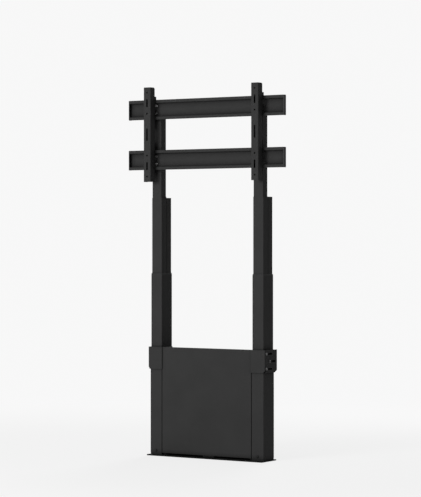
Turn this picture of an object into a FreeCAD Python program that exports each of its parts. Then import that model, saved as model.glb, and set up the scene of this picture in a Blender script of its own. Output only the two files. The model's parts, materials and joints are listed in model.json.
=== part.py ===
import FreeCAD, Part
import math
import os
import Sketcher
from types import SimpleNamespace

# Motorized TV lift: two telescopic columns on a base plate, tied to the wall by clamps.
# Frame: origin on the floor, midway between the columns. X runs to the right, Y into the
# wall, Z up. The lift is modelled raised.

# Driving sizes in millimetres
SIZES = {
    # Columns
    "column_pitch": 567,        # between the centres of the two columns
    "column_top": 518,          # top of the outer stage above the floor
    "outer_wide": 65,
    "outer_deep": 95,
    "tube_wall": 1.5,
    "tube_corner": 2,           # outside corner radius of every tube
    "side_play": 0.8,           # space between two stages at their sides
    "face_play": 1.8,           # space between two stages at front and back
    "run_gap": 0.15,            # running clearance of a liner on its tube
    "seat_gap": 0.05,           # clearance of a fixed piece in its seat
    "face_gap": 0.1,            # between a turning face and the face that carries it
    "over_cut": 1,              # a cut runs this far past the metal, and a rib into it
    "liner_long": 42,           # length of a liner or shoe inside the tubes
    "collar_high": 6,           # part of a liner that stands on its tube
    "collar_inset": 0.5,        # collar inside the sides of its tube
    "shoe_lip": 2,
    "stage_stroke": 350,        # travel of each of the two moving stages
    "stage_step": 2,            # a lowered stage stands this far above the next one out
    "shoe_space": 1,            # lowered inner shoe above the nut carrier
    "groove_wide": 4,           # groove along the inner tube's sides
    "groove_deep": 0.7,
    # Foot
    "plate_thick": 5,
    "plate_side": 6,            # base plate beyond the columns' sides
    "plate_front": 25,          # base plate beyond the columns' fronts
    "plate_rear": 13,           # base plate beyond the columns' backs
    "plate_corner": 5,
    "foot_high": 8,
    "foot_inset": 0.5,          # foot flange inside the column's sides
    "boss_high": 22,
    "boss_deep": 12,
    "boss_round": 3,            # round edges of the cast bosses
    "foot_screw_up": 11,        # column screw above the foot flange
    "floor_screw_x": 34,        # spacing of the screws under a column
    "floor_screw_y": 76,
    "anchor_x": 400,            # spacing of the floor anchor holes
    "anchor_y": 64,
    "anchor_radius": 4.5,
    # Gearboxes, shaft and motor
    "gearbox_wide": 40,
    "gearbox_high": 36,
    "shaft_up": 18,             # shaft axis above the gearbox floor
    "shaft_flats": 10,
    "hub_radius": 9,
    "hub_long": 30,
    "hub_inside": 12,           # hub's inner end from the column axis
    "hub_room": 3,              # clearance round a hub where it passes a wall
    "gear_gap": 4,              # lowered stages stop this far above the gearbox
    "cast_edge": 1.5,           # chamfer round the gearbox's top
    "shaft_gap": 1,             # end play of the cross shaft in each gearbox hub
    "motor_case_wide": 62,
    "motor_case_deep": 54,
    "motor_case_high": 56,
    "motor_radius": 25,
    "motor_long": 128,
    "motor_neck": 6,            # height of the neck between gear case and motor
    "motor_step": 4,            # neck's and end cap's radius less than the motor's
    "motor_cap": 14,            # end cap on top of the motor
    "motor_round": 3,
    "case_boss": 19,            # radius of the bosses where the shaft passes the gear case
    "case_boss_high": 3,
    # Screw drive
    "fit": 0.05,                # radial clearance of a running fit
    "screw_radius": 7,
    "journal_radius": 6,
    "screw_stub": 15,           # drive screw's journal below the gearbox top, less the bearing
    "bearing_radius": 14,
    "bearing_high": 8,
    "shoulder_high": 2.4,
    "shoulder_radius": 9,
    "key_wide": 4,
    "key_deep": 2,
    "key_gap": 0.1,
    "key_root": 0.5,            # keys reach this far into the wall that carries them
    "key_long": 27,
    "screw_lead_in": 1,         # chamfer at the top of each screw
    "carrier_thick": 10,
    "turret_radius": 21,
    "turret_high": 44,
    "nut_radius": 11,
    "nut_long": 30,
    "nut_flange_radius": 17,
    "nut_flange_high": 5,
    "second_bore": 7.5,
    "second_radius": 12,
    "second_journal": 10,
    "thrust_radius": 18.5,
    "thrust_high": 9,
    "screw_head_room": 20,      # screws end this far below the lowered stage's top
    "lift_nut_radius": 16,
    "lift_nut_long": 26,
    "lift_plate": 12,
    # Cabinet between the columns
    "cover_gap": 2.5,           # seam between the cover and each column
    "cover_fold": 13,
    "cover_sheet": 1.5,
    "cover_foot": 13,           # cover's lower edge above the floor
    "tray_deep": 70,
    "tray_lip": 18,
    "tray_drop": 18,            # tray's top below the cover's top
    "cover_round": 1,           # outside radius of the cover's folds
    "stud_radius": 5,
    "stud_neck": 3.5,
    "stud_head": 3,
    "stud_slope": 1.5,
    "stud_low": 60,
    "stud_high": 452,
    "box_wide": 170,
    "box_high": 110,
    "box_deep": 38,
    "box_up": 321,              # centre of the control box above the floor
    "box_corner": 6,
    "box_round": 2,
    "ear_wide": 10,             # fixing ears beyond the control box's sides
    "ear_high": 24,
    "ear_thick": 3,
    "ear_hole": 2.5,
    "jack_count": 4,            # recesses for plugs in the control box's lower side
    "jack_wide": 20,
    "jack_high": 12,
    "jack_deep": 3,
    "jack_pitch": 38,
    "supply_wide": 62,
    "supply_high": 190,
    "supply_deep": 40,
    "supply_up": 311,           # centre of the power supply above the floor
    "fin_count": 7,
    "fin_deep": 5,
    "fin_margin": 6,            # plain border round the fins
    "inlet_wide": 27.5,
    "inlet_high": 20,
    "inlet_deep": 24,
    "inlet_up": 80,             # centre of the inlet above the base plate
    "inlet_rim": 4,             # flange beyond the inlet's body
    "inlet_rim_thick": 2,
    "inlet_rim_corner": 3,
    "inlet_wall": 1.75,
    "inlet_cut": 4,             # cut upper corners of the socket
    "socket_deep": 18,
    "inlet_gap": 0.3,           # space round the inlet in the tray's back
    # Wall rail and clamps
    "wall_gap": 25,             # columns' backs to the wall
    "rail_high": 76,
    "rail_sheet": 3,
    "rail_end": 23,             # rail ends inboard of the columns' outer sides
    "rail_slot_x": 400,
    "rail_slot_z": 40,
    "rail_slot_radius": 4.5,
    "rail_slot_long": 40,
    "clamp_high": 106,
    "clamp_sheet": 4,
    "clamp_out": 10,            # cheek's outer face beyond the column's side
    "clamp_rear": 13,           # cheek beyond the column's back
    "clamp_over": 3,            # front flange past the column onto the cover
    "clamp_cut": 12,            # cut corners
    "clamp_back_cut": 24,       # length of the cut below the cheek's rear
    "clamp_pitch": 35,          # height between the cheek's screws
    "clamp_front": 11,          # outer screws behind the column's front
    "clamp_middle": 40,         # middle screw behind the column's front
    "clamp_slot": 54,
    "clamp_slot_radius": 4.5,
    "tab_gap": 3,               # clamp's tab and nut plate inside the rail's flanges
    "nut_plate_wide": 30,
    "nut_plate_inset": 1,       # nut plate inside the rail's end
    "nut_plate_grip": 14,       # rail screws' hold in the nut plate
    "bolt_radius": 3,
    "bolt_head_radius": 6,
    "bolt_head_high": 4,
    "bolt_socket_deep": 1.8,
    "bolt_past": 6,             # screw beyond the last wall that it holds
    "sunk_head_high": 3,        # heads of the floor screws, sunk in the base plate
    # Head
    "upright_wide": 50,
    "upright_deep": 40,
    "upright_wall": 2.5,
    "upright_over": 26,         # post above the highest crossbar screw
    "head_plate": 8,
    "head_plug": 20,
    "plug_wall": 4,
    "plug_floor": 2,
    "gusset_inset": 2,
    "gusset_thick": 5,
    "gusset_high": 60,
    "vesa_up": 1530,            # centre of the display's hole pattern above the floor
    "bar_long": 860,
    "bar_high": 70,
    "bar_sheet": 3,
    "bar_deep": 20,
    "bar_lip": 12,
    "bar_apart": 240,           # between the crossbars' centres
    "bar_bolt_apart": 36,
    "cap_thick": 3,
    "cap_corner": 3,
    "bend": 1,                  # inside radius of every fold in thick sheet
    # Arms that carry the display
    "vesa_wide": 600,
    "vesa_high": 400,
    "vesa_radius": 4.25,
    "arm_end": 25,              # arm beyond the display's outer holes
    "arm_wide": 40,
    "arm_deep": 36,
    "arm_back_gap": 4,          # arm's sides to the crossbars
    "arm_sheet": 3,
    "arm_corner": 8,            # round corners of the arms' sides
    "arm_slot": 40,             # slots between the display's holes
    "arm_middle_slot": 60,
    "hook_gap": 1.5,
    "hook_leg": 5,
    "hook_reach": 9,            # hook's leg below the top of the lip
    "hook_back": 15,            # metal above the lip
    "rest_gap": 0.2,
    "lock_wide": 30,
    "lock_thick": 4,
    "lock_drop": 22,            # lock's tail below the crossbar's lip
}


class Size:
    """A size: its number, and the sheet formula that gives it."""

    def __init__(self, number, formula):
        self.number = number
        self.formula = formula

    def joined(self, other, sign, number):
        return Size(number, f"({self.formula} {sign} {as_size(other).formula})")

    def __add__(self, other):
        return self.joined(other, "+", self.number + as_size(other).number)

    def __sub__(self, other):
        return self.joined(other, "-", self.number - as_size(other).number)

    def __mul__(self, other):
        return self.joined(other, "*", self.number * as_size(other).number)

    def __truediv__(self, other):
        return self.joined(other, "/", self.number / as_size(other).number)

    def __radd__(self, other):
        return as_size(other) + self

    def __rsub__(self, other):
        return as_size(other) - self

    def __rmul__(self, other):
        return as_size(other) * self

    def __neg__(self):
        return as_size(0) - self


def as_size(value):
    if isinstance(value, Size):
        return value
    return Size(float(value), str(float(value)))


# The document and its sheet of sizes
doc = FreeCAD.newDocument("TvLift")
sheet = doc.addObject("Spreadsheet::Sheet", "Sizes")
for row, (alias, number) in enumerate(SIZES.items(), start=1):
    sheet.set(f"A{row}", alias.replace("_", " "))
    sheet.set(f"B{row}", str(number))
    sheet.setAlias(f"B{row}", alias)
doc.recompute()
d = SimpleNamespace(**{alias: Size(number, "Sizes." + alias) for alias, number in SIZES.items()})
nodes = []


# Ways to draw and build

def bind(item, target, size):
    item.setExpression(target, as_size(size).formula)


def place(item, x=0, y=0, z=0):
    for axis, size in zip("xyz", (x, y, z)):
        bind(item, "Placement.Base." + axis, size)


def turn(item, axis, degrees):
    item.Placement.Rotation = FreeCAD.Rotation(FreeCAD.Vector(*axis), degrees)


def new_body(label):
    body = doc.addObject("PartDesign::Body", label)
    body.Label = label
    return body


def new_sketch(body, plane, lift=0):
    """A sketch on one of the body's own planes, raised along that plane's normal."""
    sketch = body.newObject("Sketcher::SketchObject", "Sketch")
    role = plane + "_Plane"
    support = [item for item in body.Origin.OriginFeatures if item.Role == role][0]
    sketch.AttachmentSupport = (support, [""])
    sketch.MapMode = "FlatFace"
    bind(sketch, "AttachmentOffset.Base.z", lift)
    return sketch


def constrain(sketch, kind, items, size):
    size = as_size(size)
    index = sketch.addConstraint(Sketcher.Constraint(kind, *items, size.number))
    sketch.renameConstraint(index, f"size{index}")
    sketch.setExpression(f"Constraints.size{index}", size.formula)


def pin(sketch, curve, point, across, up):
    constrain(sketch, "DistanceX", (curve, point), across)
    constrain(sketch, "DistanceY", (curve, point), up)


def polygon(sketch, points):
    """A closed outline of straight lines through (across, up) points."""
    corners = [(as_size(across), as_size(up)) for across, up in points]
    spots = [FreeCAD.Vector(across.number, up.number, 0) for across, up in corners]
    first = sketch.GeometryCount
    count = len(spots)
    lines = [Part.LineSegment(spots[i], spots[(i + 1) % count]) for i in range(count)]
    sketch.addGeometry(lines, False)
    sketch.addConstraint([
        Sketcher.Constraint("Coincident", first + i, 2, first + (i + 1) % count, 1)
        for i in range(count)
    ])
    for i, (across, up) in enumerate(corners):
        pin(sketch, first + i, 1, across, up)


def rectangle(sketch, wide, high, across=0, up=0):
    """A rectangle about a centre."""
    half_wide = as_size(wide) / 2
    half_high = as_size(high) / 2
    polygon(sketch, [
        (across - half_wide, up - half_high), (across + half_wide, up - half_high),
        (across + half_wide, up + half_high), (across - half_wide, up + half_high),
    ])


def rounded_rectangle(sketch, wide, high, radius):
    """A rectangle with round corners, centred on the sketch's origin."""
    wide, high, radius = as_size(wide), as_size(high), as_size(radius)
    x, y, r = wide.number / 2, high.number / 2, radius.number
    first = sketch.GeometryCount
    vector = FreeCAD.Vector
    ends = [
        ((r - x, -y), (x - r, -y)), ((x, r - y), (x, y - r)),
        ((x - r, y), (r - x, y)), ((-x, y - r), (-x, r - y)),
    ]
    centres = [(x - r, r - y), (x - r, y - r), (r - x, y - r), (r - x, r - y)]
    for (start, end), centre, quarter in zip(ends, centres, range(4)):
        sketch.addGeometry(Part.LineSegment(vector(*start, 0), vector(*end, 0)), False)
        circle = Part.Circle(vector(*centre, 0), vector(0, 0, 1), r)
        angle = (quarter - 1) * math.pi / 2
        sketch.addGeometry(Part.ArcOfCircle(circle, angle, angle + math.pi / 2), False)
    rules = []
    for quarter in range(4):
        line, arc = first + 2 * quarter, first + 2 * quarter + 1
        rules.append(Sketcher.Constraint("Tangent", line, 2, arc, 1))
        rules.append(Sketcher.Constraint("Tangent", arc, 2, first + (2 * quarter + 2) % 8, 1))
        rules.append(Sketcher.Constraint("Vertical" if quarter % 2 else "Horizontal", line))
        if quarter:
            rules.append(Sketcher.Constraint("Equal", first + 1, arc))
    rules.append(Sketcher.Constraint("Symmetric", first + 1, 3, first + 5, 3, -1, 1))
    sketch.addConstraint(rules)
    constrain(sketch, "Radius", (first + 1,), radius)
    constrain(sketch, "DistanceX", (first + 6, 1, first + 2, 1), wide)
    constrain(sketch, "DistanceY", (first, 1, first + 4, 1), high)


def circle(sketch, radius, across=0, up=0):
    radius, across, up = as_size(radius), as_size(across), as_size(up)
    centre = FreeCAD.Vector(across.number, up.number, 0)
    shape = Part.Circle(centre, FreeCAD.Vector(0, 0, 1), radius.number)
    index = sketch.addGeometry(shape, False)
    pin(sketch, index, 3, across, up)
    constrain(sketch, "Radius", (index,), radius)


def slot(sketch, length, radius, across=0, up=0, upright=False):
    """A slot of two half circles joined by lines; length is measured end to end."""
    length, radius = as_size(length), as_size(radius)
    reach = length / 2 - radius
    centre = FreeCAD.Vector(as_size(across).number, as_size(up).number, 0)
    along = FreeCAD.Vector(0, 1, 0) if upright else FreeCAD.Vector(1, 0, 0)
    side = FreeCAD.Vector(-along.y, along.x, 0)
    first = sketch.GeometryCount
    near, far = centre - along * reach.number, centre + along * reach.number
    turned = math.pi / 2 if upright else 0
    normal = FreeCAD.Vector(0, 0, 1)
    near_arc = Part.Circle(near, normal, radius.number)
    far_arc = Part.Circle(far, normal, radius.number)
    r = radius.number
    sketch.addGeometry([
        Part.ArcOfCircle(near_arc, turned + math.pi / 2, turned + 3 * math.pi / 2),
        Part.LineSegment(near - side * r, far - side * r),
        Part.ArcOfCircle(far_arc, turned - math.pi / 2, turned + math.pi / 2),
        Part.LineSegment(far + side * r, near + side * r),
    ], False)
    rules = [
        Sketcher.Constraint("Tangent", first, 2, first + 1, 1),
        Sketcher.Constraint("Tangent", first + 1, 2, first + 2, 1),
        Sketcher.Constraint("Tangent", first + 2, 2, first + 3, 1),
        Sketcher.Constraint("Tangent", first + 3, 2, first, 1),
    ]
    sketch.addConstraint(rules)
    constrain(sketch, "Radius", (first,), radius)
    if upright:
        pin(sketch, first, 3, across, up - reach)
        pin(sketch, first + 2, 3, across, up + reach)
    else:
        pin(sketch, first, 3, across - reach, up)
        pin(sketch, first + 2, 3, across + reach, up)


def pad(body, sketch, depth, both_ways=False, backwards=False):
    feature = body.newObject("PartDesign::Pad", "Pad")
    feature.Profile = sketch
    feature.SideType = "Symmetric" if both_ways else "One side"
    feature.Reversed = backwards
    bind(feature, "Length", depth)
    sketch.Visibility = False
    return feature


def pocket(body, sketch, depth=None, both_ways=False, backwards=False):
    """A cut along the sketch's normal reversed, or along it when backwards."""
    feature = body.newObject("PartDesign::Pocket", "Pocket")
    feature.Profile = sketch
    feature.SideType = "Symmetric" if both_ways else "One side"
    feature.Reversed = backwards
    if depth is None:
        feature.Type = "ThroughAll"
    else:
        bind(feature, "Length", depth)
    sketch.Visibility = False
    return feature


def revolve(body, points):
    """A solid turned about Z from (radius, height) points."""
    sketch = new_sketch(body, "XZ")
    polygon(sketch, points)
    feature = body.newObject("PartDesign::Revolution", "Revolution")
    feature.Profile = sketch
    feature.ReferenceAxis = (sketch, ["V_Axis"])
    feature.Angle = 360
    sketch.Visibility = False
    return feature


def dress(body, kind, size, test):
    """A fillet or chamfer on the edges of the body's tip that pass the test."""
    doc.recompute()
    base = body.Tip
    names = [f"Edge{i}" for i, edge in enumerate(base.Shape.Edges, start=1) if test(edge)]
    feature = body.newObject("PartDesign::" + kind, kind)
    feature.Base = (base, names)
    bind(feature, "Radius" if kind == "Fillet" else "Size", size)
    return feature


def runs_along(edge, axis):
    """True for a straight edge along one of the three axes."""
    if len(edge.Vertexes) != 2 or not isinstance(edge.Curve, Part.Line):
        return False
    return abs(edge.Curve.Direction.dot(FreeCAD.Vector(*axis))) > 0.999


def round_folds(body, axis, corners, radius):
    """Rounds the edges that run along an axis through these corners of the profile."""
    spots = [(as_size(first).number, as_size(second).number) for first, second in corners]

    def at_corner(edge):
        if not runs_along(edge, axis):
            return False
        point = edge.Vertexes[0].Point
        first, second = [point[i] for i in range(3) if not axis[i]]
        return any(math.hypot(first - a, second - b) < 0.01 for a, b in spots)

    dress(body, "Fillet", radius, at_corner)


def keep(label, item):
    """Puts a finished piece on the list of nodes."""
    item.Label = label
    nodes.append((label, item))
    return item


def group(label, pieces):
    """Separate solids of one kind that share a node."""
    compound = doc.addObject("Part::Compound", label)
    compound.Links = pieces
    return keep(label, compound)


# Sizes worked out from the driving ones
cavity_wide = d.outer_wide - 2 * d.tube_wall
cavity_deep = d.outer_deep - 2 * d.tube_wall
middle_wide = cavity_wide - 2 * d.side_play
middle_deep = cavity_deep - 2 * d.face_play
middle_cavity_wide = middle_wide - 2 * d.tube_wall
middle_cavity_deep = middle_deep - 2 * d.tube_wall
inner_wide = middle_cavity_wide - 2 * d.side_play
inner_deep = middle_cavity_deep - 2 * d.face_play
inner_cavity_wide = inner_wide - 2 * d.tube_wall
inner_cavity_deep = inner_deep - 2 * d.tube_wall
cavity_corner = d.tube_corner - d.tube_wall
front = -d.outer_deep / 2
back = d.outer_deep / 2
column_x = d.column_pitch / 2

foot_top = d.plate_thick + d.foot_high
gearbox_top = foot_top + d.gearbox_high
shaft_z = foot_top + d.shaft_up
outer_tube_top = d.column_top - d.collar_high

# Heights of the moving stages when lowered; each is raised by its travel below
middle_low = gearbox_top + d.gear_gap
middle_top = d.column_top + d.stage_step
middle_tube_top = middle_top - d.collar_high
inner_low = middle_low + d.carrier_thick + d.shoe_lip + d.shoe_space
inner_top = middle_top + d.stage_step
middle_travel = d.stage_stroke
carriage_travel = 2 * d.stage_stroke

turret_top = middle_low + d.turret_high
thrust_floor = turret_top - d.thrust_high
lift_plate_low = turret_top + d.gear_gap
drive_screw_top = inner_top - d.screw_head_room - d.stage_step
second_screw_top = inner_top - d.screw_head_room + d.stage_step


# Foot

def base_plate():
    body = new_body("base_plate")
    sketch = new_sketch(body, "XY")
    wide = d.column_pitch + d.outer_wide + 2 * d.plate_side
    deep = d.plate_front + d.outer_deep + d.plate_rear
    rectangle(sketch, wide, deep, up=(d.plate_rear - d.plate_front) / 2)
    pad(body, sketch, d.plate_thick)
    dress(body, "Fillet", d.plate_corner, lambda edge: runs_along(edge, (0, 0, 1)))
    holes = new_sketch(body, "XY")
    for side_x in (-1, 1):
        for side_y in (-1, 1):
            circle(holes, d.anchor_radius, side_x * d.anchor_x / 2, side_y * d.anchor_y / 2)
            for column in (-1, 1):
                across = column * column_x + side_x * d.floor_screw_x / 2
                circle(holes, d.bolt_radius + d.seat_gap, across, side_y * d.floor_screw_y / 2)
    pocket(body, holes, backwards=True)
    seats = new_sketch(body, "XY")
    for side_x in (-1, 1):
        for side_y in (-1, 1):
            for column in (-1, 1):
                across = column * column_x + side_x * d.floor_screw_x / 2
                radius = d.bolt_head_radius + d.seat_gap
                circle(seats, radius, across, side_y * d.floor_screw_y / 2)
    pocket(body, seats, d.sunk_head_high, backwards=True)
    keep("base_plate", body)


def screw(label, long, head_high=None):
    """A socket screw: head from z = 0 up, shank below, hexagon socket in the head."""
    head_high = head_high or d.bolt_head_high
    body = new_body(label)
    revolve(body, [
        (0, -as_size(long)), (d.bolt_radius, -as_size(long)), (d.bolt_radius, 0),
        (d.bolt_head_radius, 0), (d.bolt_head_radius, head_high), (0, head_high),
    ])
    socket = new_sketch(body, "XY", head_high)
    reach = d.bolt_radius
    polygon(socket, [
        (reach * math.cos(math.pi * i / 3), reach * math.sin(math.pi * i / 3))
        for i in range(6)
    ])
    pocket(body, socket, d.bolt_socket_deep)
    return body


def floor_screws():
    pieces = []
    for column in (-1, 1):
        for side_x in (-1, 1):
            for side_y in (-1, 1):
                piece = screw(f"floor_screw_{len(pieces) + 1}", d.foot_high, d.sunk_head_high)
                turn(piece, (1, 0, 0), 180)
                across = column * column_x + side_x * d.floor_screw_x / 2
                place(piece, across, side_y * d.floor_screw_y / 2, d.sunk_head_high)
                pieces.append(piece)
    group("floor_screws", pieces)


def tube_screws():
    """One screw through the front and one through the back of each column into its foot."""
    pieces = []
    for column in (-1, 1):
        for side, angle in ((-1, 90), (1, -90)):
            piece = screw(f"tube_screw_{len(pieces) + 1}", d.boss_deep)
            turn(piece, (1, 0, 0), angle)
            place(piece, column * column_x, side * d.outer_deep / 2, foot_top + d.foot_screw_up)
            pieces.append(piece)
    group("tube_screws", pieces)


def foot_block(side, x):
    """Cast foot: a flange that the outer tube stands on and two bosses inside the tube."""
    label = side + "_foot_block"
    body = new_body(label)
    sketch = new_sketch(body, "XY")
    inset = 2 * d.foot_inset
    rounded_rectangle(sketch, d.outer_wide - inset, d.outer_deep - inset, d.tube_corner)
    pad(body, sketch, d.foot_high)
    bosses = new_sketch(body, "XY", d.foot_high)
    boss_wide = cavity_wide - 2 * d.boss_round
    reach = cavity_deep / 2 - d.seat_gap - d.boss_deep / 2
    for end in (-1, 1):
        rectangle(bosses, boss_wide, d.boss_deep, up=end * reach)
    pad(body, bosses, d.boss_high)
    rim = d.foot_high.number
    dress(body, "Fillet", d.boss_round,
          lambda edge: runs_along(edge, (0, 0, 1)) and edge.BoundBox.ZMin > rim - 0.01)
    holes = new_sketch(body, "XZ")
    circle(holes, d.bolt_radius + d.seat_gap, 0, d.foot_high + d.foot_screw_up)
    pocket(body, holes, d.outer_deep, both_ways=True)
    floor_holes = new_sketch(body, "XY")
    for side_x in (-1, 1):
        for side_y in (-1, 1):
            across = side_x * d.floor_screw_x / 2
            circle(floor_holes, d.bolt_radius + d.seat_gap, across, side_y * d.floor_screw_y / 2)
    pocket(body, floor_holes, d.foot_high, backwards=True)
    place(body, x, 0, d.plate_thick)
    keep(label, body)


# Column tubes

def tube(label, wide, deep, long):
    body = new_body(label)
    sketch = new_sketch(body, "XY")
    rounded_rectangle(sketch, wide, deep, d.tube_corner)
    rounded_rectangle(sketch, wide - 2 * d.tube_wall, deep - 2 * d.tube_wall, cavity_corner)
    pad(body, sketch, long)
    return body


def outer_tube(side, x, inboard):
    label = side + "_outer_tube"
    body = tube(label, d.outer_wide, d.outer_deep, outer_tube_top - foot_top)
    shaft_hole = new_sketch(body, "YZ")
    circle(shaft_hole, d.hub_radius + d.hub_room, 0, d.shaft_up)
    pocket(body, shaft_hole, d.outer_wide, backwards=inboard > 0)
    screw_holes = new_sketch(body, "XZ")
    circle(screw_holes, d.bolt_radius + d.seat_gap, 0, d.foot_screw_up)
    pocket(body, screw_holes, 2 * d.outer_deep, both_ways=True)
    clamp_holes = new_sketch(body, "YZ")
    for across, up in clamp_spots():
        circle(clamp_holes, d.bolt_radius + d.seat_gap, across, up - foot_top)
    pocket(body, clamp_holes, d.outer_wide, backwards=inboard < 0)
    place(body, x, 0, foot_top)
    keep(label, body)


def middle_tube(side, x):
    label = side + "_middle_tube"
    body = tube(label, middle_wide, middle_deep, middle_tube_top - middle_low)
    place(body, x, 0, middle_low + middle_travel)
    keep(label, body)


def inner_tube(side, x):
    """The inner tube has a shallow groove along the middle of each side."""
    label = side + "_inner_tube"
    body = tube(label, inner_wide, inner_deep, inner_top - inner_low)
    grooves = new_sketch(body, "XY")
    for end in (-1, 1):
        across = end * (inner_wide / 2 - d.groove_deep / 2)
        rectangle(grooves, d.groove_deep, d.groove_wide, across)
    pocket(body, grooves, backwards=True)
    place(body, x, 0, inner_low + carriage_travel)
    keep(label, body)


def liner(label, x, z, outline, opening):
    """Plastic liner in a tube's mouth, with a collar that stands on the tube.

    outline is the tube that holds it, opening the tube that runs in it.
    """
    body = new_body(label)
    sketch = new_sketch(body, "XY")
    held = 2 * (d.tube_wall + d.seat_gap)
    corner = cavity_corner
    rounded_rectangle(sketch, outline[0] - held, outline[1] - held, corner)
    pad(body, sketch, d.liner_long, backwards=True)
    collar = new_sketch(body, "XY")
    inset = 2 * d.collar_inset
    rounded_rectangle(collar, outline[0] - inset, outline[1] - inset, d.tube_corner)
    pad(body, collar, d.collar_high)
    hole = new_sketch(body, "XY", d.collar_high)
    wide, deep = opening[0] + 2 * d.run_gap, opening[1] + 2 * d.run_gap
    rounded_rectangle(hole, wide, deep, d.tube_corner + d.run_gap)
    pocket(body, hole)
    place(body, x, 0, z)
    keep(label, body)


def shoe(label, x, z, outline, cavity):
    """Plastic shoe round a tube's lower end, with a lip under it.

    outline is the tube that wears it, cavity the tube that it runs in.
    """
    body = new_body(label)
    sketch = new_sketch(body, "XY")
    wide, deep = cavity[0] - 2 * d.run_gap, cavity[1] - 2 * d.run_gap
    rounded_rectangle(sketch, wide, deep, cavity_corner)
    pad(body, sketch, d.liner_long)
    seat = new_sketch(body, "XY", d.liner_long)
    held = 2 * d.seat_gap
    rounded_rectangle(seat, outline[0] + held, outline[1] + held, d.tube_corner + d.seat_gap)
    pocket(body, seat, d.liner_long - d.shoe_lip)
    hole = new_sketch(body, "XY", d.liner_long)
    lip = 2 * d.tube_wall
    rounded_rectangle(hole, outline[0] - lip, outline[1] - lip, cavity_corner)
    pocket(body, hole)
    place(body, x, 0, z)
    keep(label, body)


# Screw drive

def gearbox(side, x, inboard):
    """Sealed right-angle gearbox: shaft hub in at the side, drive screw out at the top."""
    label = side + "_gearbox"
    body = new_body(label)
    sketch = new_sketch(body, "XY")
    rounded_rectangle(sketch, d.gearbox_wide, d.gearbox_wide, d.tube_corner)
    pad(body, sketch, d.gearbox_high)
    rim = d.gearbox_high.number
    dress(body, "Chamfer", d.cast_edge, lambda edge: edge.BoundBox.ZMin > rim - 0.01)
    seat = new_sketch(body, "XY", d.gearbox_high)
    circle(seat, d.bearing_radius + d.seat_gap)
    pocket(body, seat, d.bearing_high)
    stub = new_sketch(body, "XY", d.gearbox_high)
    circle(stub, d.journal_radius + d.fit)
    pocket(body, stub, d.bearing_high + d.screw_stub + d.shaft_gap)
    hub = new_sketch(body, "YZ", inboard * (d.hub_inside - d.hub_room / 2))
    circle(hub, d.hub_radius + d.fit, 0, d.shaft_up)
    pocket(body, hub, d.gearbox_wide, backwards=inboard > 0)
    place(body, x, 0, foot_top)
    keep(label, body)


def ring(label, x, z, outside, inside, high):
    body = new_body(label)
    sketch = new_sketch(body, "XY")
    circle(sketch, outside)
    circle(sketch, inside)
    pad(body, sketch, high)
    place(body, x, 0, z)
    keep(label, body)


def drive_screw(side, x):
    """Screw fixed in height in the gearbox, with a keyway on two sides."""
    label = side + "_drive_screw"
    body = new_body(label)
    bottom = -(d.bearing_high + d.screw_stub)
    long = drive_screw_top - gearbox_top
    revolve(body, [
        (0, bottom), (d.journal_radius, bottom), (d.journal_radius, d.face_gap),
        (d.shoulder_radius, d.face_gap), (d.shoulder_radius, d.shoulder_high),
        (d.screw_radius, d.shoulder_high), (d.screw_radius, long - d.screw_lead_in),
        (d.screw_radius - d.screw_lead_in, long), (0, long),
    ])
    keyways = new_sketch(body, "XY", d.shoulder_high + d.over_cut)
    for end in (-1, 1):
        rectangle(keyways, 2 * d.key_deep, d.key_wide, end * d.screw_radius)
    pocket(body, keyways, backwards=True)
    place(body, x, 0, gearbox_top)
    keep(label, body)


def nut_carrier(side, x):
    """Plate across the middle tube's foot with a turret for the drive nut and bearing."""
    label = side + "_nut_carrier"
    body = new_body(label)
    plate = new_sketch(body, "XY")
    held = 2 * d.seat_gap
    rounded_rectangle(plate, middle_cavity_wide - held, middle_cavity_deep - held, cavity_corner)
    pad(body, plate, d.carrier_thick)
    turret = new_sketch(body, "XY")
    circle(turret, d.turret_radius)
    pad(body, turret, d.turret_high)
    bore = new_sketch(body, "XY")
    circle(bore, d.nut_radius + d.seat_gap)
    pocket(body, bore, backwards=True)
    flange = new_sketch(body, "XY")
    circle(flange, d.nut_flange_radius + d.seat_gap)
    pocket(body, flange, d.nut_flange_high, backwards=True)
    seat = new_sketch(body, "XY", d.turret_high)
    circle(seat, d.thrust_radius + d.seat_gap)
    pocket(body, seat, d.thrust_high)
    place(body, x, 0, middle_low + middle_travel)
    keep(label, body)


def drive_nut(side, x):
    label = side + "_drive_nut"
    body = new_body(label)
    bore = d.screw_radius + d.fit
    revolve(body, [
        (bore, 0), (d.nut_flange_radius, 0), (d.nut_flange_radius, d.nut_flange_high),
        (d.nut_radius, d.nut_flange_high), (d.nut_radius, d.nut_long), (bore, d.nut_long),
    ])
    place(body, x, 0, middle_low + middle_travel)
    keep(label, body)


def second_screw(side, x):
    """Hollow screw round the drive screw; two keys in its foot slide in the keyways."""
    label = side + "_second_screw"
    body = new_body(label)
    journal = d.thrust_high + d.face_gap
    long = second_screw_top - thrust_floor
    inside = d.second_bore
    revolve(body, [
        (inside, 0), (d.second_journal, 0), (d.second_journal, journal),
        (d.second_radius, journal), (d.second_radius, long - d.screw_lead_in),
        (d.second_radius - d.screw_lead_in, long), (inside, long),
    ])
    keys = new_sketch(body, "XY")
    depth = d.key_deep - d.key_gap + d.second_bore - d.screw_radius
    for end in (-1, 1):
        across = end * (d.second_bore - (depth - d.key_root) / 2)
        rectangle(keys, depth + d.key_root, d.key_wide - 2 * d.key_gap, across)
    pad(body, keys, d.key_long)
    place(body, x, 0, thrust_floor + middle_travel)
    keep(label, body)


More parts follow.
